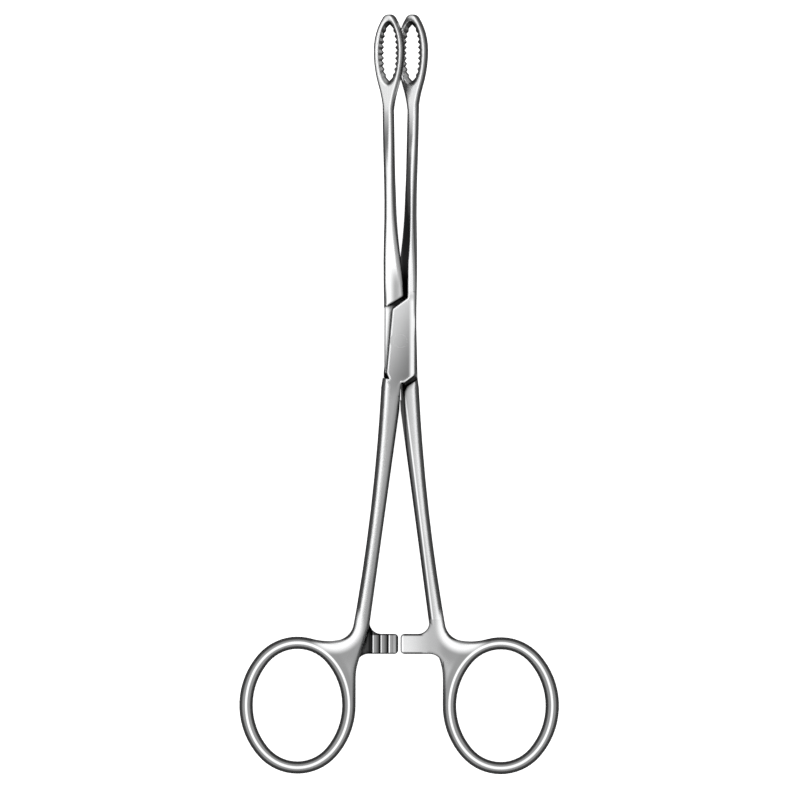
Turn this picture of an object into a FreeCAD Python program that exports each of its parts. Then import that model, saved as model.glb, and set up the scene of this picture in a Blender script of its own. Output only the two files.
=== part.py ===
import FreeCAD, Part
import math
import os
from FreeCAD import Vector

# Straight sponge holding forceps with a box lock, windowed serrated jaws and a ratchet.
# It lies flat: X to the right, Y towards the jaws, Z up. The pivot axis is the Z axis and
# the underside of the box lock is Z = 0. It is drawn with the jaws a little open.
# The box half runs from the right jaw, through the lock, to the left finger ring.
# The tenon half runs from the left jaw, through the slot in the box, to the right ring.
# Both halves share one arm, jaw, shank, ring and ratchet: one is the other turned over.

# How far the halves are drawn open, from jaws that meet
rest_opening = 4.1

# Box lock
lock_thick = 5.6
lock_half_width = 3.85
lock_round = 0.75
tenon_thick = 2.4
tenon_half_width = 3.74
tenon_end = 8.33
tenon_neck = 1.3
tenon_heel = (4.15, -8.6)
slot_clear = 0.05
slot_end_clear = 0.26
slot_slope = 36.9
pin_radius = 1.6
pin_fit = 0.01
pin_running = 0.04

# Corners of the cheeks, seen from above
cheek_bevel = 0.18
cheek_top_left = (-1.95, 7.55)
cheek_top_right = (1.66, 10.20)
cheek_top_inner = (1.95, 10.45)
cheek_head = 11.6
cheek_low_left = (-3.30, -7.55)
cheek_low_right = -7.87
cheek_low_inner = (0.33, -10.52)
cheek_foot = [(-0.2, -13.0), (-2.6, -13.0), (-2.6, -9.2)]
cheek_heel = [(-3.9, -8.7), (-3.9, -7.3)]

# Shoulders of the tenon half, either side of the cheeks
upper_shoulder = [(-9.0, 8.30), (-3.1, 8.30), (1.0, 10.86), (9.0, 14.86)]
lower_shoulder = [(9.0, -8.9), (4.4, -8.95), (1.75, -10.75), (1.15, -12.0), (0.75, -14.0), (-9.0, -14.0)]

# Upper arms with the jaws shut
mating_gap = 0.10
split_at_lock = 26.0
split_below_lock = 14.0

# Jaws
jaw_twist = 30.0
parting_room = 9.0
jaw_plate = 1.8
jaw_toe_in = 2.8
jaw_offset = 0.17
jaw_bevel = 0.28
throat_start = 49.0
throat_half_width = 1.0
throat_straight = 2.9
jaw_flare = 17.0
jaw_half_width = 3.88
jaw_crown = 8.5
crown_point = 1.0

# Window in each jaw, back from the widest place, and the teeth round it
window_back = 0.6
window_offset = 0.12
window_half_width = 2.83
window_half_length = 7.75
lip_half_width = 1.50
lip_half_length = 6.65
tooth_pitch = 1.28
tooth_depth = 0.58
window_clear = 0.225
lip_fullness = 3.0
lip_point = 0.75

# Lower shank on the right side
shank_bevel = 0.85
shank_outer_head = (4.48, -11.1)
shank_outer_foot = (10.85, -67.2)
shank_bow = 0.88
shank_inner_head = (-0.44, -12.0)
shank_neck = (-0.2, -9.8)
shank_head = (4.15, -8.7)
shank_inner_foot = (7.1, -67.5)
shank_taper = 49.0

# Finger ring and the web that carries it
ring_centre = (24.08, -86.3)
ring_hole_half_width = 10.58
ring_hole_half_length = 13.31
ring_side = 3.20
ring_end = 2.93
ring_thick = 3.95
ring_point = 0.7
ring_leave = 106.0
web_height = 8.4
web_blend = 12.0

# Ratchet arm on the right side
ratchet_tip = 0.27
ratchet_root = 7.05
ratchet_high = -69.35
ratchet_width = 4.75
ratchet_high_blend = 2.7
ratchet_low_blend = 3.1
ratchet_tip_round = 0.9
ratchet_face_bevel = 0.35
ratchet_running = 0.10
ratchet_tip_run = 2.47
ratchet_first = 2.25
ratchet_pitch = 1.90
ratchet_depth = 0.70
ratchet_teeth = 3

middle = lock_thick / 2.0
half_opening = rest_opening / 2.0
slot_end = tenon_end + slot_end_clear
tenon_low = middle - tenon_thick / 2.0
tenon_high = middle + tenon_thick / 2.0
jaw_centre = throat_start + throat_straight + jaw_flare
ring_half_width = ring_hole_half_width + ring_side
ring_half_length = ring_hole_half_length + ring_end
web_top = ring_centre[1] + web_height
beyond = 60.0
spare = 1.0
near = 0.5
touch = 0.01

# Sections of the left arm with the jaws shut: distance from the pivot, centre x and z,
# width, thickness, roll about the arm and corner radius
arm_sections = [
    (8.0, -1.07, 0.0, 5.0, lock_thick, 0.0, 0.8),
    (11.0, -1.04, 0.0, 4.94, lock_thick, 0.0, 0.8),
    (18.5, -1.14, 0.05, 4.2, 4.9, 4.0, 0.85),
    (28.7, -1.23, 0.35, 2.75, 3.9, 14.0, 0.85),
    (37.2, -1.22, 0.55, 2.42, 2.8, 23.0, 0.8),
    (45.7, -1.145, 0.61, 2.52, 2.1, jaw_twist, 0.6),
    (56.0, -0.975, 0.53, 2.5, 1.66, jaw_twist, 0.35),
]

# The faces along which the halves part, with the jaws shut: distance from the pivot, lean.
# Under the cheeks the box parts a little lower than the shanks do.
upper_parting = [(6.0, split_at_lock), (18.5, split_at_lock), (30.0, 42.0), (45.0, 60.0), (60.0, 60.0)]
lower_parting = [(-9.0, split_below_lock), (-30.0, split_below_lock)]
cheek_parting = [(-9.8, split_below_lock), (-30.0, split_below_lock)]


def at(point, z=0.0):
    return Vector(point[0], point[1], z)


def line(start, end):
    return Part.makeLine(at(start), at(end))


def polygon(points):
    return Part.Face(Part.makePolygon([at(p) for p in points] + [at(points[0])]))


def slab(face, low, high):
    return face.translated(Vector(0, 0, low)).extrude(Vector(0, 0, high - low))


def closed(edges):
    return Part.Wire(Part.__sortEdges__(edges))


def turned(shape, angle):
    return shape.rotated(Vector(0, 0, 0), Vector(0, 0, 1), angle)


def turned_over(shape):
    """The same form on the other half: turned half a turn about the long axis."""
    return shape.rotated(Vector(0, 0, middle), Vector(0, 1, 0), 180)


def bowed(start, end, bow):
    """An arc between two points that stands bow to the left of the straight line at its middle."""
    chord = at(end) - at(start)
    left = Vector(-chord.y, chord.x, 0).normalize()
    return Part.Arc(at(start), (at(start) + at(end)) * 0.5 + left * bow, at(end)).toShape()


def heading_arc(start, heading, end):
    """An arc that leaves start along heading, and its heading at end."""
    chord = at(end) - at(start)
    along = Vector(chord).normalize()
    heading = Vector(heading).normalize()
    left = Vector(-along.y, along.x, 0)
    turn = math.asin(heading.dot(left))
    bow = chord.Length / 2.0 * math.tan(turn / 2.0)
    return bowed(start, end, bow), along * (2 * heading.dot(along)) - heading


def tangent_arcs(start, leaving, end, arriving):
    """Two arcs that join smoothly, from start along leaving to end along arriving."""
    span = at(end) - at(start)
    t0 = Vector(leaving).normalize()
    t1 = Vector(arriving).normalize()
    both = t0 + t1
    spread = 2 * (1 - t0.dot(t1))
    if spread < 1e-9:
        reach = span.dot(span) / (4 * span.dot(t0))
    else:
        reach = (math.sqrt(span.dot(both) ** 2 + spread * span.dot(span)) - span.dot(both)) / spread
    joint = (at(start) + at(end) + (t0 - t1) * reach) * 0.5
    first, heading = heading_arc(start, t0, joint)
    second, heading = heading_arc(joint, heading, end)
    return [first, second]


class Oval:
    """A long oval of four arcs that meet smoothly, its long way along Y."""

    def __init__(self, centre, half_width, half_length, point):
        self.centre = at(centre)
        self.half_width = half_width
        self.half_length = half_length
        self.end = half_width * (half_width / half_length) ** point
        rise = half_length - self.end
        self.side = (half_width ** 2 + rise ** 2 - self.end ** 2) / (2 * (half_width - self.end))
        self.turn = math.atan2(rise, self.side - half_width)

    def on_side(self, angle):
        x = self.half_width - self.side + self.side * math.cos(angle)
        return self.centre + Vector(x, self.side * math.sin(angle), 0)

    def on_top(self, angle):
        y = self.half_length - self.end + self.end * math.sin(angle)
        return self.centre + Vector(self.end * math.cos(angle), y, 0)

    def over(self, point):
        return Vector(2 * self.centre.x - point.x, point.y, point.z)

    def under(self, point):
        return Vector(point.x, 2 * self.centre.y - point.y, point.z)

    def crown(self):
        """The upper half, from the right to the left."""
        right = [self.on_side(0), self.on_side(self.turn / 2), self.on_side(self.turn)]
        top = [right[2], self.on_top(math.pi / 2), self.over(right[2])]
        left = [self.over(p) for p in reversed(right)]
        return [right, top, left]

    def edges(self, half=False):
        arcs = self.crown()
        if not half:
            arcs += [[self.under(p) for p in reversed(arc)] for arc in reversed(arcs)]
        return [Part.Arc(*arc).toShape() for arc in arcs]

    def wire(self):
        return closed(self.edges())


def eased_section(station):
    """A rectangle across an arm, with corners eased in two facets each."""
    y, x, z, width, thick, roll, corner = station
    a = width / 2.0
    b = thick / 2.0
    c = math.cos(math.radians(roll))
    s = math.sin(math.radians(roll))
    k = corner * (1 - math.sqrt(0.5))

    def place(u, v):
        return Vector(x + u * c - v * s, y, middle + z + u * s + v * c)

    points = []
    for su, sv in ((1, 1), (-1, 1), (-1, -1), (1, -1)):
        facets = [place(su * a, sv * (b - corner)), place(su * (a - k), sv * (b - k)), place(su * (a - corner), sv * b)]
        points += facets if su * sv > 0 else facets[::-1]
    return Part.makePolygon(points + points[:1])


def parting_outline(y, lean):
    """Across the part: everything on one side of the leaning parting face."""
    c = math.cos(math.radians(lean))
    s = math.sin(math.radians(lean))
    room = parting_room
    corners = []
    for u, v in ((-room, mating_gap / 2), (room, mating_gap / 2), (room, -room), (-room, -room)):
        corners.append(Vector(u * s - v * c, y, middle + u * c + v * s))
    return Part.makePolygon(corners + corners[:1])


def parting_block(stations):
    """What lies past the parting face of the left upper arm, with the jaws shut."""
    block = None
    for (y, lean), (next_y, next_lean) in zip(stations, stations[1:]):
        start = parting_outline(y, lean)
        if lean == next_lean:
            piece = Part.Face(start).extrude(Vector(0, next_y - y, 0))
        else:
            piece = Part.makeLoft([start, parting_outline(next_y, next_lean)], True, True)
        block = piece if block is None else block.fuse(piece)
    return block


def jaw():
    """The left jaw, shut, built flat in its own plane and then twisted."""
    straight = throat_start + throat_straight
    up = Vector(0, 1, 0)
    right = [line((throat_half_width, throat_start), (throat_half_width, straight))]
    right += tangent_arcs((throat_half_width, straight), up, (jaw_half_width, jaw_centre), up)
    left = [e.mirror(Vector(0, 0, 0), Vector(1, 0, 0)) for e in right]
    crown = Oval((0, jaw_centre), jaw_half_width, jaw_crown, crown_point).edges(half=True)
    foot = line((-throat_half_width, throat_start), (throat_half_width, throat_start))
    low = mating_gap / 2.0
    high = low + jaw_plate
    plate = slab(Part.Face(closed(right + crown + left + [foot])), low, high)
    rims = [e for e in plate.Edges if e.BoundBox.ZLength < touch and e.BoundBox.YLength > near]
    plate = plate.makeChamfer(jaw_bevel, rims).cut(window(low, high))
    plate = plate.rotated(Vector(0, jaw_centre, 0), Vector(0, 0, 1), -jaw_toe_in)
    plate = plate.translated(Vector(jaw_offset, 0, 0))
    plate = plate.rotated(Vector(0, 0, 0), Vector(0, 1, 0), -jaw_twist)
    return plate.translated(Vector(0, 0, middle))


def window(low, high):
    """The opening in a jaw: serrated walls that narrow from both faces to a lip half way through."""
    half = (high - low) / 2.0
    spread = (window_half_width - lip_half_width) * window_clear / half
    lip = serrated_ring(low + half)
    cutter = None
    for level in (low - window_clear, high + window_clear):
        mouth = mouth_ring(level, spread)
        funnel = Part.makeLoft([lip, mouth], True, True)
        cutter = funnel if cutter is None else cutter.fuse(funnel)
    return cutter


def tooth_rows():
    """Steps of half a tooth along the window, from its middle, and whether each is a groove."""
    count = int(2 * lip_half_length / tooth_pitch)
    return [(i * tooth_pitch / 2.0, i % 2 == 1) for i in range(-count, count + 1)]


def ring_of(right, half_length, z):
    centre = jaw_centre - window_back
    points = [(0, -half_length)] + right + [(0, half_length)]
    points += [(-x, y) for x, y in reversed(right)]
    points = [Vector(x + window_offset, y + centre, z) for x, y in points]
    return Part.makePolygon(points + points[:1])


def serrated_ring(z):
    """The narrow lip: pointed at both ends, with teeth along both sides."""
    right = []
    for y, groove in tooth_rows():
        share = abs(y) / lip_half_length
        reach = (1 - share ** lip_fullness) ** lip_point
        right.append((reach * (lip_half_width + (tooth_depth if groove else 0.0)), y))
    return ring_of(right, lip_half_length, z)


def mouth_ring(z, spread):
    """The smooth mouth of the window, with a corner opposite each one of the lip."""
    half_width = window_half_width + spread
    half_length = window_half_length + spread
    right = []
    for y, groove in tooth_rows():
        share = y / lip_half_length
        right.append((half_width * math.sqrt(1 - share ** 2), share * half_length))
    return ring_of(right, half_length, z)


def upper_arm():
    """Left arm and jaw with the jaws shut."""
    arm = Part.makeLoft([eased_section(s) for s in arm_sections], True, False)
    arm = arm.cut(parting_block(upper_parting))
    return arm.fuse(jaw())


def side_profile():
    """Seen from the side: full thickness at the lock, tapering to the thickness of the ring."""
    start = lower_shoulder[-1][1]
    end = start - shank_taper
    upper = [(0.0, lock_thick), (start, lock_thick), (end, ring_thick), (ring_centre[1] - beyond, ring_thick)]
    points = [Vector(-beyond, y, middle + t / 2.0) for y, t in upper]
    points += [Vector(-beyond, y, middle - t / 2.0) for y, t in reversed(upper)]
    return Part.Face(Part.makePolygon(points + points[:1])).extrude(Vector(2 * beyond, 0, 0))


def web_and_shank_plan(ring):
    """Outline of the right shank and web, as far as inside the finger ring."""
    outer = bowed(shank_outer_head, shank_outer_foot, -shank_bow)
    leaving = outer.tangentAt(outer.LastParameter)
    angle = math.radians(ring_leave)
    landing = ring.on_top(angle)
    web = tangent_arcs(shank_outer_foot, leaving, landing, Vector(math.sin(angle), -math.cos(angle), 0))
    side = ring.over(ring.on_side(0))
    points = [landing, ring.centre, side, (side.x, web_top), shank_inner_foot, shank_inner_head]
    points += [shank_neck, shank_head, shank_outer_head]
    edges = [line(a, b) for a, b in zip(points, points[1:])]
    return Part.Face(closed([outer] + web + edges))


def shank_and_ring():
    """The right shank with its web and finger ring, all its long edges bevelled."""
    ring = Oval(ring_centre, ring_half_width, ring_half_length, ring_point)
    hole = Oval(ring_centre, ring_hole_half_width, ring_hole_half_length, ring_point)
    low = -spare
    high = lock_thick + spare
    body = slab(web_and_shank_plan(ring), low, high).fuse(slab(Part.Face(ring.wire()), low, high))
    body = body.removeSplitter()
    corners = []
    for edge in body.Edges:
        y = edge.Vertexes[0].Y
        if edge.BoundBox.ZLength > spare and min(abs(y - web_top), abs(y - shank_inner_foot[1])) < touch:
            corners.append(edge)
    body = body.makeFillet(web_blend, corners)
    body = body.cut(slab(Part.Face(hole.wire()), low, high)).common(side_profile())
    rims = []
    for edge in body.Edges:
        box = edge.BoundBox
        at_head = box.YMin > shank_inner_head[1] - near and box.XMin < shank_head[0] - near
        if box.YLength > touch and not at_head:
            rims.append(edge)
    return body.makeChamfer(shank_bevel, rims)


def ratchet_arm():
    """The right ratchet arm: the upper half of the thickness, toothed underneath."""
    low = middle + ratchet_running / 2.0
    high = middle + ring_thick / 2.0
    top = ratchet_high
    bottom = ratchet_high - ratchet_width
    tip = ratchet_tip
    r = ratchet_tip_round
    k = r * (1 - math.sqrt(0.5))
    root_high = (ratchet_root, top + ratchet_high_blend)
    root_low = (ring_centre[0] - ring_half_width, bottom - ratchet_low_blend)
    bend_high = (root_high[0] - ratchet_high_blend, top)
    bend_low = (root_low[0] - ratchet_low_blend, bottom)
    inside = (root_low[0] + spare, top)
    edges = [
        Part.Arc(at((tip, top - r)), at((tip + k, top - k)), at((tip + r, top))).toShape(),
        line((tip + r, top), bend_high),
        heading_arc(bend_high, Vector(1, 0, 0), root_high)[0],
        line(root_high, inside),
        line(inside, root_low),
        heading_arc(bend_low, Vector(1, 0, 0), root_low)[0],
        line(bend_low, (tip + r, bottom)),
        Part.Arc(at((tip + r, bottom)), at((tip + k, bottom + k)), at((tip, bottom + r))).toShape(),
        line((tip, bottom + r), (tip, top - r)),
    ]
    arm = slab(Part.Face(closed(edges)), low, high)
    rims = []
    for edge in arm.Edges:
        box = edge.BoundBox
        free = box.XMax < root_low[0] + touch and (box.YLength < touch or box.XMin < root_high[0] - touch)
        if box.ZMin > high - touch and free:
            rims.append(edge)
    arm = arm.makeChamfer(ratchet_face_bevel, rims)
    return arm.cut(ratchet_grooves(low))


def ratchet_grooves(low):
    """Saw-tooth grooves with their steep faces towards the shank."""
    first = ratchet_tip + ratchet_first
    crests = [first + i * ratchet_pitch for i in range(ratchet_teeth)]
    below = low - ratchet_running / 2.0
    high = low + ratchet_depth
    tip = first - ratchet_tip_run
    profiles = [[(tip, below), (tip, high), (first, below)]]
    for start, crest in zip(crests, crests[1:]):
        profiles.append([(start, below), (start, high), (crest, below)])
    pocket = crests[-1] + ratchet_pitch
    profiles.append([(crests[-1], below), (crests[-1], high), (pocket - ratchet_depth, high), (pocket, below)])
    deep = ratchet_high - ratchet_width - ratchet_low_blend - spare
    long = ratchet_width + ratchet_low_blend + ratchet_high_blend + 2 * spare
    cutter = None
    for profile in profiles:
        points = [Vector(x, deep, z) for x, z in profile + profile[:1]]
        groove = Part.Face(Part.makePolygon(points)).extrude(Vector(0, long, 0))
        cutter = groove if cutter is None else cutter.fuse(groove)
    return cutter


def handle():
    """Right shank, ring and ratchet arm, with the parting face below the lock."""
    body = shank_and_ring().fuse(ratchet_arm())
    block = turned(turned_over(parting_block(lower_parting)), half_opening)
    return body.cut(block)


def slanted(end, half_width, low, high):
    """A block across the lock, between two end walls that lean like the shoulders."""
    c = math.cos(math.radians(slot_slope))
    t = math.tan(math.radians(slot_slope))
    corners = []
    for x, sign in ((half_width, 1), (-half_width, 1), (-half_width, -1), (half_width, -1)):
        corners.append((x, sign * end / c - x * t))
    return slab(polygon(corners), low, high)


def slot_space():
    """The slot through the box, between its two slanting end walls."""
    return slanted(slot_end, lock_half_width + 2 * spare, tenon_low - slot_clear, tenon_high + slot_clear)


def slants_over_cheek(box):
    """Whether an edge in this box is one of the free edges of a cheek, seen from above."""
    across = min(box.YLength, box.XLength) > near
    return across and box.ZLength < touch and cheek_low_inner[1] - touch < box.YMin and box.YMax < cheek_head


def box_block():
    """The body of the lock: both cheeks and what joins them, before the slot is cut."""
    right = lock_half_width
    corners = [cheek_low_left, cheek_top_left, cheek_top_right, cheek_top_inner]
    corners += [(cheek_top_inner[0], cheek_head), (right, cheek_head), (right, cheek_low_right)]
    corners += [cheek_low_inner] + cheek_foot
    block = slab(polygon(corners), 0, lock_thick)
    outer = [e for e in block.Edges if e.BoundBox.ZLength < touch and e.BoundBox.XMin > right - touch]
    block = block.makeFillet(lock_round, outer)
    diagonals = [e for e in block.Edges if slants_over_cheek(e.BoundBox)]
    block = block.makeChamfer(cheek_bevel, diagonals)
    heel = slab(polygon(cheek_heel + [cheek_top_left, cheek_low_inner]), 0, middle)
    return block.fuse(heel)


def shoulder_space():
    """What the cheeks take from the tenon half, over and under the tenon."""
    face = polygon(upper_shoulder + lower_shoulder)
    return slab(face, -spare, tenon_low).fuse(slab(face, tenon_high, lock_thick + spare))


def tenon():
    """The tongue in the slot, its end walls parallel to the slot's when the jaws are shut."""
    c = math.cos(math.radians(slot_slope - rest_opening))
    t = math.tan(math.radians(slot_slope - rest_opening))
    half = tenon_half_width
    inner = tenon_neck
    low = -tenon_end / c + half * t
    foot = -tenon_end / c - inner * t
    corners = [(-half, low), (inner, foot), (half, foot), tenon_heel, (half, -low), (-inner, -foot), (-half, -foot)]
    return slab(polygon(corners), tenon_low, tenon_high)


def bore(radius):
    return Part.makeCylinder(radius, lock_thick + 2 * spare, Vector(0, 0, -spare))


def tenon_half():
    upper = turned(upper_arm(), half_opening)
    body = upper.fuse(handle()).cut(shoulder_space())
    body = body.fuse(tenon())
    return body.cut(bore(pin_radius + pin_running)).removeSplitter()


def box_half():
    upper = turned(turned_over(upper_arm()), -half_opening)
    lower = turned_over(handle())
    block = box_block()
    block = block.cut(turned(parting_block(cheek_parting), -half_opening))
    body = block.fuse(upper).fuse(lower)
    body = body.cut(slot_space())
    return body.cut(bore(pin_radius + pin_fit)).removeSplitter()


def lock_pin():
    return Part.makeCylinder(pin_radius, lock_thick)


def main():
    os.makedirs("parts", exist_ok=True)
    nodes = {"box_half": box_half(), "tenon_half": tenon_half(), "lock_pin": lock_pin()}
    for name, shape in nodes.items():
        box = shape.optimalBoundingBox(False)
        print(name, shape.isValid(), len(shape.Solids), round(shape.Volume, 1), box)
        shape.exportStep("parts/" + name + ".step")


main()
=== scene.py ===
import math

import bpy
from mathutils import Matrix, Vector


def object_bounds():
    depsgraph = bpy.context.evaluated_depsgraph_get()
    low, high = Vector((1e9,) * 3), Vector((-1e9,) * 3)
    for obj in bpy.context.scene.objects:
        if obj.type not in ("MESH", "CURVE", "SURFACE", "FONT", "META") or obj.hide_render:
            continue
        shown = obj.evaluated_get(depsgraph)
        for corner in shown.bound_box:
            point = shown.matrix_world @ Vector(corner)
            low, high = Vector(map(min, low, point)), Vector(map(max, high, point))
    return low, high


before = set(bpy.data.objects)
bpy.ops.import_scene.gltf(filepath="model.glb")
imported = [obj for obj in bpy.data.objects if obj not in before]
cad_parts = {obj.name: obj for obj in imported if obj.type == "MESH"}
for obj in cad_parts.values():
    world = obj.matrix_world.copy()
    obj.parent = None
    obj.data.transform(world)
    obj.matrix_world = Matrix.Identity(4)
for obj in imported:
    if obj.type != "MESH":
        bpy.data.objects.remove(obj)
cad_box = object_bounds()

# The photograph looks straight down, and its frame is this wide on the object, in metres
photo_width = 0.18944
photo_centre = (0.0, -0.01397)
camera_height = 0.5
camera_roll = math.radians(0.157)
camera_range = 10.0

floor_size = 3.0
floor_gap = 0.0001
floor_shade = 0.9
floor_glow = 0.9
millimetres = 1000.0

# Brightness of the sky from the horizon to overhead
sky = ((0.0, 0.2), (0.26, 0.34), (0.4, 0.55), (0.58, 1.0), (1.0, 1.12))

# Places on the object, in millimetres. The two numbers of a span are where a change starts and ends.
ring_centre = (24.08, -86.3)
ring_hole = (10.58, 13.31)
ring_middle = (12.18, 14.78)
# The web's middle, painted darker so that it looks dished
web_centre = (13.0, -73.0)
web_size = (6.0, 6.0)
# Where the painted highlight in the web's corner lies
web_corner = (15.2, -67.3)
corner_highlight_rise = (4.3, 4.9)
corner_highlight_fall = (5.3, 7.2)
halves = (-1.0, 1.0)
middle = 2.8

lock_end = 11.0
lock_start_rows = (-lock_end, -lock_end + 2.0)
lock_rows = (lock_end - 2.0, lock_end)
cheek_rows = (8.0, 15.0)
cheek_lean = 0.45
cheek_span = (-6.0, 6.5)
cheek_light = (1.9, 2.85)
lock_brink = (3.35, 3.6)
tenon_top = 4.05
tenon_flank = (2.2, 3.0)
pin_reach = 2.4
gap_rise = (8.0, 9.0)
gap_fall = (13.0, 15.0)

neck_start = 46.0
over_lock = (0.0, lock_end)
on_arms = (lock_end, neck_start)
on_jaws = (neck_start, neck_start + 12.0)
arm_outline_rows = (lock_end - 2.0, lock_end + 4.0)
arm_blend = 1.0
tenon_arm_drop = 4.0
arm_left = (-2.9, -1.1)
arm_right = (-1.0, 1.5)
parting_rows = (14.0, 18.0)

half_opening = math.radians(2.05)
jaw_twist = math.radians(30.0)
jaw_toe_in = math.radians(2.8)
jaw_centre = 68.9
window_centre = (0.12, -0.6)
window_offset = 0.17
window_size = (2.83, 7.75)

shank_lean = 0.1264
shank_offset = 0.464
shank_rise = (-68.0, -66.0)
shank_fall = (-14.0, -12.0)
inner_face = (-0.2, -0.1)
crease_width = (0.1, 0.25)

ratchet_root = (10.3, 10.5)
ratchet_open = (6.3, 6.8)
ratchet_rise = (-75.7, -75.5)
ratchet_fall = (-66.0, -65.8)
ratchet_middle = -71.75
arm_brink = (1.75, 2.1)
arm_brink_end = (5.0, 6.0)
arm_face = (1.0, 9.0)
arm_face_span = (6.8, 10.5)
arm_tip = (0.8, 1.1)
tooth_brink = (1.95, 2.2)
tooth_height = (2.05, 2.75)
tooth_crest = (2.7, 2.73)
tooth_top = 2.77
glint_rise = (0.75, 0.95)
glint_fall = (1.35, 1.55)
pocket = (6.9, 8.4)

# Distances from the middle of an oval, as shares of its size
ring_reach = (1.24, 1.34)
ring_line = (0.010, 0.031)
web_reach = (0.3, 1.0)
window_rim = (1.0, 1.02)
window_wall = (0.96, 0.99)

# How far the polishing has rounded the edges, in metres
shank_round = 0.0020
ring_round = 0.0012
lock_round = 0.0008
jaw_round = 0.0008
ratchet_round = 0.0002
recess_reach = 0.0015

# Leans of the surface: its upright share, or its lean to the lit side
nearly_flat = (0.97, 0.9995)
not_steep = (0.6, 0.8)
ring_roll = (0.75, 0.92)
lit_side = (-0.15, 0.1)
first_light = (0.01, 0.07)
outline = (0.24, 0.38)
arm_outline = (0.4, 0.55)
rim = (0.45, 0.6)
jaw_lit = (0.0, 0.3)
jaw_outline = (0.56, 0.64)
wall_turn = (-0.5, 0.5)

# How open a place is to the light, away from the gaps of the lock and at them
recess_open = (0.5, 0.85)
gap_open = (0.72, 0.97)
# How dark the painted shade is in the deepest recesses, in the lock and beyond it
recess_shade_shares = (0.02, 0.4)

# Tones: how bright the steel's colour is painted, standing in for light and shade, from dark painted outlines
# to painted highlights. Two are for the left and the right shank, for the dark and the bright of a pattern, or
# for the start and the end of a span.
shank_shade_tones = (0.37, 0.48)
shaded_edge_tones = (0.3, 0.42)
lit_edge_tones = (1.0, 0.78)
arm_edge_tones = (0.3, 0.98)
outline_tone = 0.12
rim_tone = 0.2
inner_face_shade_tone = 0.18
crease_highlight_tone = 0.9
cheek_shade_tones = (0.61, 0.17)
cheek_highlight_tone = 0.85
lock_brink_shade_tone = 0.25
tenon_highlight_tones = (0.55, 0.93)
arm_left_shading_tones = (1.0, 0.38)
arm_right_shading_tones = (0.0, 0.4)
jaw_shading_tones = (0.25, 1.0)
jaw_outline_shade_tone = 0.25
window_rim_highlight_share = 0.8
window_rim_highlight_tone = 0.9
wall_shade_tones = (0.03, 0.3)
web_shade_tone = 0.3
corner_highlight_tone = 0.95
ring_highlight_tones = (0.28, 0.98)
ring_side_shade_share = 0.62
arm_face_shading_tones = (0.72, 0.42)
arm_brink_shade_tone = 0.12
arm_tip_highlight_tone = 0.95
tooth_shade_tones = (0.02, 0.34)
crest_highlight_tone = 0.95
glint_highlight_tone = 0.4
tooth_brink_shade_share = 0.1
pocket_shade_tones = (0.01, 0.14)

# The steel's hue, its slow clouds and the fine brush marks along the instrument
tint = (0.995, 1.0, 1.005)
noise_span = (0.3, 0.7)
cloud_scale = (90.0, 90.0, 90.0)
cloud_detail = 4.0
cloud_shares = (0.96, 1.04)
brush_scale = (2600.0, 500.0, 2600.0)
brush_detail = 3.0
brush_strength = 0.2
brush_depth = 0.00002
brush_roughness = (0.15, 0.2)

bevel_samples = 16
recess_samples = 8

# Sockets of a Mix node that mixes vectors
vector_a = 4
vector_b = 5
vector_result = 1


class Graph:
    """A node tree with short ways to do sums in it."""

    def __init__(self, tree):
        self.tree = tree

    def node(self, kind, **settings):
        made = self.tree.nodes.new(kind)
        for name, value in settings.items():
            setattr(made, name, value)
        return made

    def feed(self, socket, value):
        if isinstance(value, (int, float, tuple)):
            socket.default_value = value
        else:
            self.tree.links.new(value, socket)

    def sum(self, operation, first, second=0.0):
        made = self.node("ShaderNodeMath", operation=operation)
        self.feed(made.inputs[0], first)
        self.feed(made.inputs[1], second)
        return made.outputs[0]

    def times(self, first, *others):
        for other in others:
            first = self.sum("MULTIPLY", first, other)
        return first

    def fade(self, value, span, low=0.0, high=1.0):
        """A smooth step: low up to the start of the span, high from its end on."""
        made = self.node("ShaderNodeMapRange", interpolation_type="SMOOTHSTEP")
        for name, number in zip(("From Min", "From Max", "To Min", "To Max"), (*span, low, high)):
            self.feed(made.inputs[name], number)
        self.feed(made.inputs["Value"], value)
        return made.outputs["Result"]

    def drop(self, value, span):
        return self.fade(value, span, 1.0, 0.0)

    def band(self, value, rise, fall):
        return self.times(self.fade(value, rise), self.drop(value, fall))

    def mix(self, share, first, second):
        made = self.node("ShaderNodeMix")
        self.feed(made.inputs["Factor"], share)
        self.feed(made.inputs["A"], first)
        self.feed(made.inputs["B"], second)
        return made.outputs["Result"]

    def noise(self, place, scale, detail):
        stretch = self.node("ShaderNodeMapping")
        self.feed(stretch.inputs["Scale"], scale)
        self.feed(stretch.inputs["Vector"], place)
        made = self.node("ShaderNodeTexNoise")
        self.feed(made.inputs["Scale"], 1.0)
        self.feed(made.inputs["Detail"], detail)
        self.feed(made.inputs["Vector"], stretch.outputs["Vector"])
        return made.outputs["Fac"]

    def split(self, vector):
        made = self.node("ShaderNodeSeparateXYZ")
        self.feed(made.inputs["Vector"], vector)
        return made.outputs

    def oval(self, across, along, centre, size):
        """Distance from the centre of an oval, 1 on its edge."""
        first = self.sum("DIVIDE", self.sum("SUBTRACT", across, centre[0]), size[0])
        second = self.sum("DIVIDE", self.sum("SUBTRACT", along, centre[1]), size[1])
        return self.sum("SQRT", self.sum("ADD", self.sum("POWER", first, 2.0), self.sum("POWER", second, 2.0)))

    def spun(self, x, y, angle):
        """A point turned about the origin."""
        c = math.cos(angle)
        s = math.sin(angle)
        across = self.sum("SUBTRACT", self.times(x, c), self.times(y, s))
        along = self.sum("ADD", self.times(x, s), self.times(y, c))
        return across, along


def new_material(name):
    material = bpy.data.materials.new(name)
    material.use_nodes = True
    tree = material.node_tree
    return material, Graph(tree), tree.nodes["Principled BSDF"]


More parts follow.
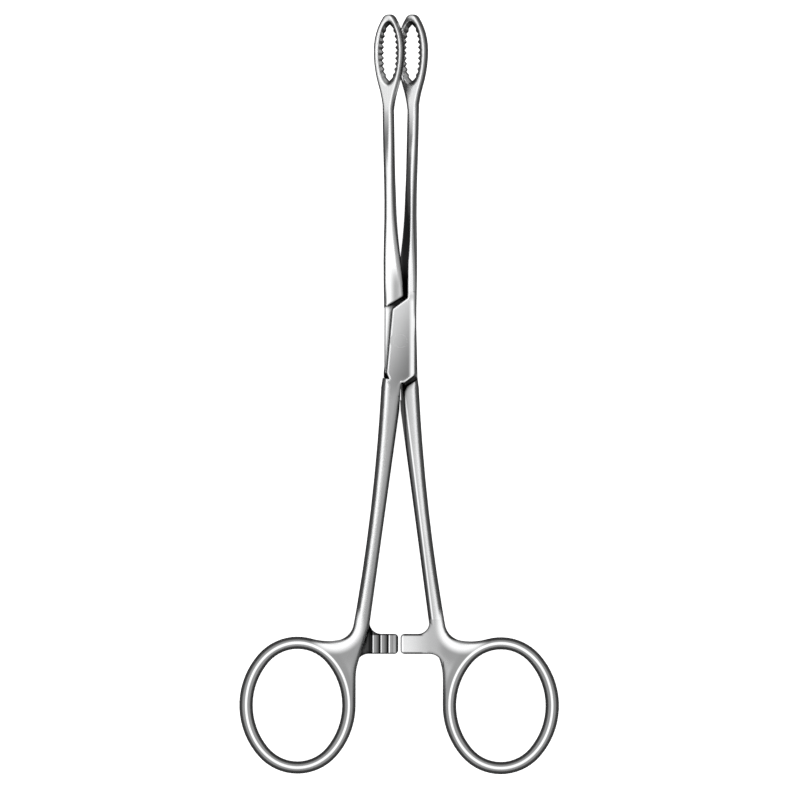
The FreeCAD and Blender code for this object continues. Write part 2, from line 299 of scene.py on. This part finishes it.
class Steel:
    """Brushed satin steel with light and shade painted into its colour: each face painted to the brightness its
    lean to the light gives, with painted highlights, and painted darker along the outlines.

    hand is 1 on the tenon half and -1 on the box half. cheek is 1 on pieces that show in the
    cheek of the lock, and teeth is 1 on the half whose ratchet teeth look up.
    """

    def __init__(self, name, hand, cheek=0.0, teeth=0.0):
        self.material, self.g, self.shader = new_material(name)
        self.hand = hand
        self.cheek = cheek
        self.teeth = teeth
        g = self.g
        self.place = g.node("ShaderNodeTexCoord").outputs["Object"]
        scaled = g.node("ShaderNodeVectorMath", operation="SCALE")
        g.feed(scaled.inputs[0], self.place)
        g.feed(scaled.inputs["Scale"], millimetres)
        self.x, self.y, self.z = g.split(scaled.outputs[0])
        self.side = g.sum("ABSOLUTE", self.x)
        self.reach = g.sum("ABSOLUTE", self.y)
        self.wire = g.oval(self.side, self.y, ring_centre, ring_hole)
        self.right = g.fade(self.x, halves)
        self.in_lock = g.drop(self.reach, lock_rows)
        self.at_ratchet = g.band(self.y, ratchet_rise, ratchet_fall)
        self.from_ratchet = g.sum("ABSOLUTE", g.sum("SUBTRACT", self.y, ratchet_middle))
        self.at_pin = g.sum("LESS_THAN", g.oval(self.x, self.y, (0.0, 0.0), (1.0, 1.0)), pin_reach)
        self.normal = self.rounded_normal()
        tilt_x, _, tilt_z = g.split(self.normal)
        self.upright = g.sum("ABSOLUTE", tilt_z)
        outward = g.times(tilt_x, g.sum("SIGN", self.x))
        self.lit = g.mix(g.fade(self.y, over_lock), outward, g.times(tilt_x, -1.0))
        self.paint()

    def rounded_normal(self):
        """Edges are eased most on the shanks and least on the ratchet, and the pin's ends lie level."""
        g = self.g
        radius = g.fade(self.y, lock_start_rows, shank_round, lock_round)
        radius = g.mix(g.fade(self.y, on_arms), radius, jaw_round)
        radius = g.mix(g.drop(self.wire, ring_reach), radius, ring_round)
        on_teeth = g.times(g.drop(self.side, ratchet_open), self.at_ratchet)
        rounded = g.node("ShaderNodeBevel", samples=bevel_samples)
        g.feed(rounded.inputs["Radius"], g.mix(on_teeth, radius, ratchet_round))
        level = g.node("ShaderNodeCombineXYZ")
        g.feed(level.inputs["Z"], g.sum("SIGN", g.sum("SUBTRACT", self.z, middle)))
        surface = g.node("ShaderNodeMix", data_type="VECTOR")
        g.feed(surface.inputs["Factor"], self.at_pin)
        g.feed(surface.inputs[vector_a], rounded.outputs["Normal"])
        g.feed(surface.inputs[vector_b], level.outputs["Vector"])
        return surface.outputs[vector_result]

    def painted_flat_tone(self):
        """The brushed flats, with painted shade and highlights: painted darker down the cheek and across the
        arms, darker in the web's middle so that it looks dished, lighter on the tenon strip and along the
        cheek's edge.
        """
        g = self.g
        # Painted shade: the cheek is painted lighter at its top left and darker towards its lower right.
        slant = g.sum("SUBTRACT", self.x, g.times(self.y, cheek_lean))
        cheek = g.fade(slant, cheek_span, *cheek_shade_tones)
        # Painted shade: the shanks' upward flats are painted grey, darker than their lit edges.
        shanks = g.mix(self.right, *shank_shade_tones)
        flat = g.mix(g.fade(self.reach, cheek_rows, self.cheek, 0.0), shanks, cheek)
        # Painted shade: the middle of the web is painted darker so that it looks dished.
        web = g.oval(self.side, self.y, web_centre, web_size)
        flat = g.mix(g.drop(web, web_reach), flat, web_shade_tone)
        # Painted highlight and shade across the arms, lighter on their lit side.
        left_arm = g.fade(self.x, arm_left, *arm_left_shading_tones)
        arms = g.sum("ADD", left_arm, g.fade(self.x, arm_right, *arm_right_shading_tones))
        arm_from = lock_end - tenon_arm_drop * (1.0 - self.cheek)
        flat = g.mix(g.fade(self.y, (arm_from - arm_blend, arm_from + arm_blend)), flat, arms)
        # Painted highlight: the tenon beside the cheek is painted lighter away from the middle.
        in_slot = g.times(g.sum("LESS_THAN", self.z, tenon_top), g.sum("LESS_THAN", self.reach, lock_end))
        on_tenon = g.times(in_slot, g.sum("SUBTRACT", 1.0, self.at_pin), 1.0 - self.cheek)
        flat = g.mix(on_tenon, flat, g.fade(self.side, tenon_flank, *tenon_highlight_tones))
        # Painted highlight: a light band along the right edge of the cheek.
        on_cheek_highlight = g.times(g.fade(self.x, cheek_light), g.times(self.in_lock, self.cheek))
        return g.mix(on_cheek_highlight, flat, cheek_highlight_tone)

    def edge_tone(self):
        """Painted highlight and shade where the surface rolls over: white on the lit side, with a dark painted
        outline beyond.
        """
        g = self.g
        shaded = g.mix(self.right, *shaded_edge_tones)
        edge = g.fade(self.lit, lit_side, shaded, g.mix(self.right, *lit_edge_tones))
        edge = g.mix(g.fade(self.y, over_lock), edge, g.fade(self.lit, lit_side, *arm_edge_tones))
        dark = g.mix(g.fade(self.y, arm_outline_rows), g.fade(self.lit, outline), g.fade(self.lit, arm_outline))
        edge = g.mix(dark, edge, outline_tone)
        return g.mix(g.fade(self.lit, rim), edge, rim_tone)

    def with_crease(self, tone):
        """Painted shade on the inner face of the right shank, and a painted highlight on the crease along it.
        """
        g = self.g
        inner = g.sum("ADD", g.sum("ADD", self.x, g.times(self.y, shank_lean)), shank_offset)
        on_shank = g.times(g.band(self.y, shank_rise, shank_fall), self.right)
        tone = g.mix(g.times(on_shank, g.drop(inner, inner_face)), tone, inner_face_shade_tone)
        on_crease = g.times(on_shank, g.drop(g.sum("ABSOLUTE", inner), crease_width))
        return g.mix(on_crease, tone, crease_highlight_tone)

    def with_ring(self, tone):
        """A painted highlight line round the finger ring with painted shade on its steep sides, and a painted
        highlight in the web's corner.
        """
        g = self.g
        off_middle = g.sum("SUBTRACT", g.oval(self.side, self.y, ring_centre, ring_middle), 1.0)
        line = g.drop(g.sum("ABSOLUTE", off_middle), ring_line)
        ring = g.times(g.mix(line, *ring_highlight_tones), g.fade(self.upright, ring_roll, ring_side_shade_share, 1.0))
        tone = g.mix(g.drop(self.wire, ring_reach), tone, ring)
        corner = g.oval(self.side, self.y, web_corner, (1.0, 1.0))
        glow = g.times(g.band(corner, corner_highlight_rise, corner_highlight_fall), g.fade(self.upright, not_steep))
        return g.mix(glow, tone, corner_highlight_tone)

    def window_distance(self):
        """Distance from the middle of the jaw's window in the plane of the jaw, 1 at its mouth."""
        g = self.g
        x = g.times(self.x, self.hand)
        z = g.times(g.sum("SUBTRACT", self.z, middle), self.hand)
        x, y = g.spun(x, self.y, -half_opening)
        x, z = g.spun(x, z, -jaw_twist)
        x, y = g.spun(g.sum("SUBTRACT", x, window_offset), g.sum("SUBTRACT", y, jaw_centre), jaw_toe_in)
        return g.oval(x, y, window_centre, window_size)

    def with_jaw(self, tone):
        """The jaws, painted brighter on their lit side up to a dark painted outline."""
        g = self.g
        jaw = g.fade(self.lit, jaw_lit, *jaw_shading_tones)
        jaw = g.mix(g.fade(self.lit, jaw_outline), jaw, jaw_outline_shade_tone)
        return g.mix(g.fade(self.y, on_jaws), tone, jaw)

    def with_window(self, tone):
        """A painted highlight line at the mouth of the jaw's window, and painted shade on its walls with the
        teeth in them.
        """
        g = self.g
        window = self.window_distance()
        facing = g.split(g.node("ShaderNodeNewGeometry").outputs["True Normal"])[1]
        tone = g.mix(g.fade(window, window_rim, window_rim_highlight_share, 0.0), tone, window_rim_highlight_tone)
        return g.mix(g.drop(window, window_wall), tone, g.fade(facing, wall_turn, *wall_shade_tones))

    def shade(self):
        """Painted shade: recesses are painted darker, the gaps of the lock most of all."""
        g = self.g
        recess = g.node("ShaderNodeAmbientOcclusion", samples=recess_samples)
        g.feed(recess.inputs["Distance"], recess_reach)
        at_gap = g.band(self.reach, gap_rise, gap_fall)
        span = tuple(g.mix(at_gap, away, near) for away, near in zip(recess_open, gap_open))
        deepest = g.fade(self.y, parting_rows, *recess_shade_shares)
        open_share = g.fade(recess.outputs["AO"], span, deepest, 1.0)
        return g.sum("MAXIMUM", self.at_pin, open_share)

    def with_ratchet_arm(self, tone):
        """The face of the arm whose teeth look down, with painted light and shade: lighter towards its tip, a
        dark painted band along its edges and a painted highlight at the tip.
        """
        g = self.g
        brink = g.times(g.fade(self.from_ratchet, arm_brink), g.drop(self.side, arm_brink_end))
        arm = g.mix(brink, g.fade(self.side, arm_face, *arm_face_shading_tones), arm_brink_shade_tone)
        arm = g.mix(g.drop(self.side, arm_tip), arm, arm_tip_highlight_tone)
        on_arm = g.times(g.fade(self.side, arm_face_span, 1.0 - self.teeth, 0.0), self.at_ratchet)
        return g.mix(on_arm, tone, arm)

    def with_teeth(self, tone):
        """Painted light and shade on the teeth: each tooth runs from black at its root to a painted highlight
        on its crest, with a painted glint near the tip, painted darker along the arm's edges, beside a dark
        painted pocket.
        """
        g = self.g
        teeth = g.fade(self.z, tooth_height, *tooth_shade_tones)
        teeth = g.mix(g.fade(self.z, tooth_crest), teeth, crest_highlight_tone)
        teeth = g.mix(g.band(self.side, glint_rise, glint_fall), teeth, glint_highlight_tone)
        teeth = g.times(teeth, g.fade(self.from_ratchet, tooth_brink, 1.0, tooth_brink_shade_share))
        in_pocket = g.sum("GREATER_THAN", self.side, pocket[0])
        teeth = g.mix(in_pocket, teeth, g.fade(self.side, pocket, *pocket_shade_tones))
        on_teeth = g.times(g.fade(self.side, ratchet_root, self.teeth, 0.0), self.at_ratchet)
        return g.mix(g.times(on_teeth, g.sum("LESS_THAN", self.z, tooth_top)), tone, teeth)

    def paint(self):
        """The painted light and shade put together, with the brush marks in the surface."""
        g = self.g
        # Painted light and shade by the surface's lean: upright faces take the flat tones, rolled-over edges
        # the edge tones.
        flat_share = g.times(g.fade(self.upright, nearly_flat), g.drop(self.lit, first_light))
        tone = g.mix(flat_share, self.edge_tone(), self.painted_flat_tone())
        tone = self.with_jaw(self.with_crease(tone))
        # Painted shade: a dark band along the sides of the lock.
        tone = g.mix(g.times(self.in_lock, g.fade(self.side, lock_brink)), tone, lock_brink_shade_tone)
        tone = self.with_window(self.with_ring(tone))
        tone = g.times(tone, self.shade())
        tone = self.with_teeth(self.with_ratchet_arm(tone))

        cloud = g.noise(self.place, cloud_scale, cloud_detail)
        tone = g.times(tone, g.fade(cloud, noise_span, *cloud_shares))
        colour = g.node("ShaderNodeCombineColor")
        for channel, share in zip(colour.inputs, tint):
            g.feed(channel, g.times(tone, share))
        brushed = g.noise(self.place, brush_scale, brush_detail)
        bump = g.node("ShaderNodeBump")
        g.feed(bump.inputs["Strength"], brush_strength)
        g.feed(bump.inputs["Distance"], brush_depth)
        g.feed(bump.inputs["Height"], brushed)
        g.feed(bump.inputs["Normal"], self.normal)
        g.feed(self.shader.inputs["Metallic"], 1.0)
        g.feed(self.shader.inputs["Base Color"], colour.outputs["Color"])
        g.feed(self.shader.inputs["Roughness"], g.fade(brushed, noise_span, *brush_roughness))
        g.feed(self.shader.inputs["Normal"], bump.outputs["Normal"])


def floor():
    bpy.ops.mesh.primitive_plane_add(size=floor_size, location=(0, 0, cad_box[0][2] - floor_gap))
    plane = bpy.context.object
    plane.name = "floor"
    plane.visible_glossy = False
    material, g, shader = new_material("floor_white")
    g.feed(shader.inputs["Base Color"], (floor_shade, floor_shade, floor_shade, 1))
    g.feed(shader.inputs["Roughness"], 1.0)
    g.feed(shader.inputs["Emission Color"], (1, 1, 1, 1))
    g.feed(shader.inputs["Emission Strength"], floor_glow)
    plane.data.materials.append(material)


def studio():
    """Soft light from all round above, dim near the horizon, behind a plain white ground."""
    world = bpy.data.worlds.new("studio")
    bpy.context.scene.world = world
    world.use_nodes = True
    g = Graph(world.node_tree)
    height = g.split(g.node("ShaderNodeTexCoord").outputs["Generated"])[2]
    ramp = g.node("ShaderNodeValToRGB")
    elements = ramp.color_ramp.elements
    elements.remove(elements[1])
    for position, level in sky:
        element = elements[0] if position == 0.0 else elements.new(position)
        element.color = (level, level, level, 1)
    g.feed(ramp.inputs["Fac"], height)
    lit = g.node("ShaderNodeBackground")
    g.feed(lit.inputs["Color"], ramp.outputs["Color"])
    white = world.node_tree.nodes["Background"]
    g.feed(white.inputs["Color"], (1, 1, 1, 1))
    mix = g.node("ShaderNodeMixShader")
    g.feed(mix.inputs[0], g.node("ShaderNodeLightPath").outputs["Is Camera Ray"])
    g.feed(mix.inputs[1], lit.outputs["Background"])
    g.feed(mix.inputs[2], white.outputs["Background"])
    g.feed(world.node_tree.nodes["World Output"].inputs["Surface"], mix.outputs["Shader"])


def camera():
    data = bpy.data.cameras.new("camera")
    data.type = "ORTHO"
    data.ortho_scale = photo_width
    data.clip_end = camera_range
    eye = bpy.data.objects.new("camera", data)
    eye.location = (photo_centre[0], photo_centre[1], camera_height)
    eye.rotation_euler = (0, 0, camera_roll)
    bpy.context.collection.objects.link(eye)
    bpy.context.scene.camera = eye


finishes = {
    "box_half": Steel("satin_steel_box", -1.0, cheek=1.0, teeth=1.0),
    "tenon_half": Steel("satin_steel_tenon", 1.0),
    "lock_pin": Steel("steel_pin", 1.0, cheek=1.0),
}
for node, finish in finishes.items():
    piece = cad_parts[node]
    piece.data.materials.clear()
    piece.data.materials.append(finish.material)

floor()
studio()
camera()

bpy.context.scene.view_settings.view_transform = "Standard"
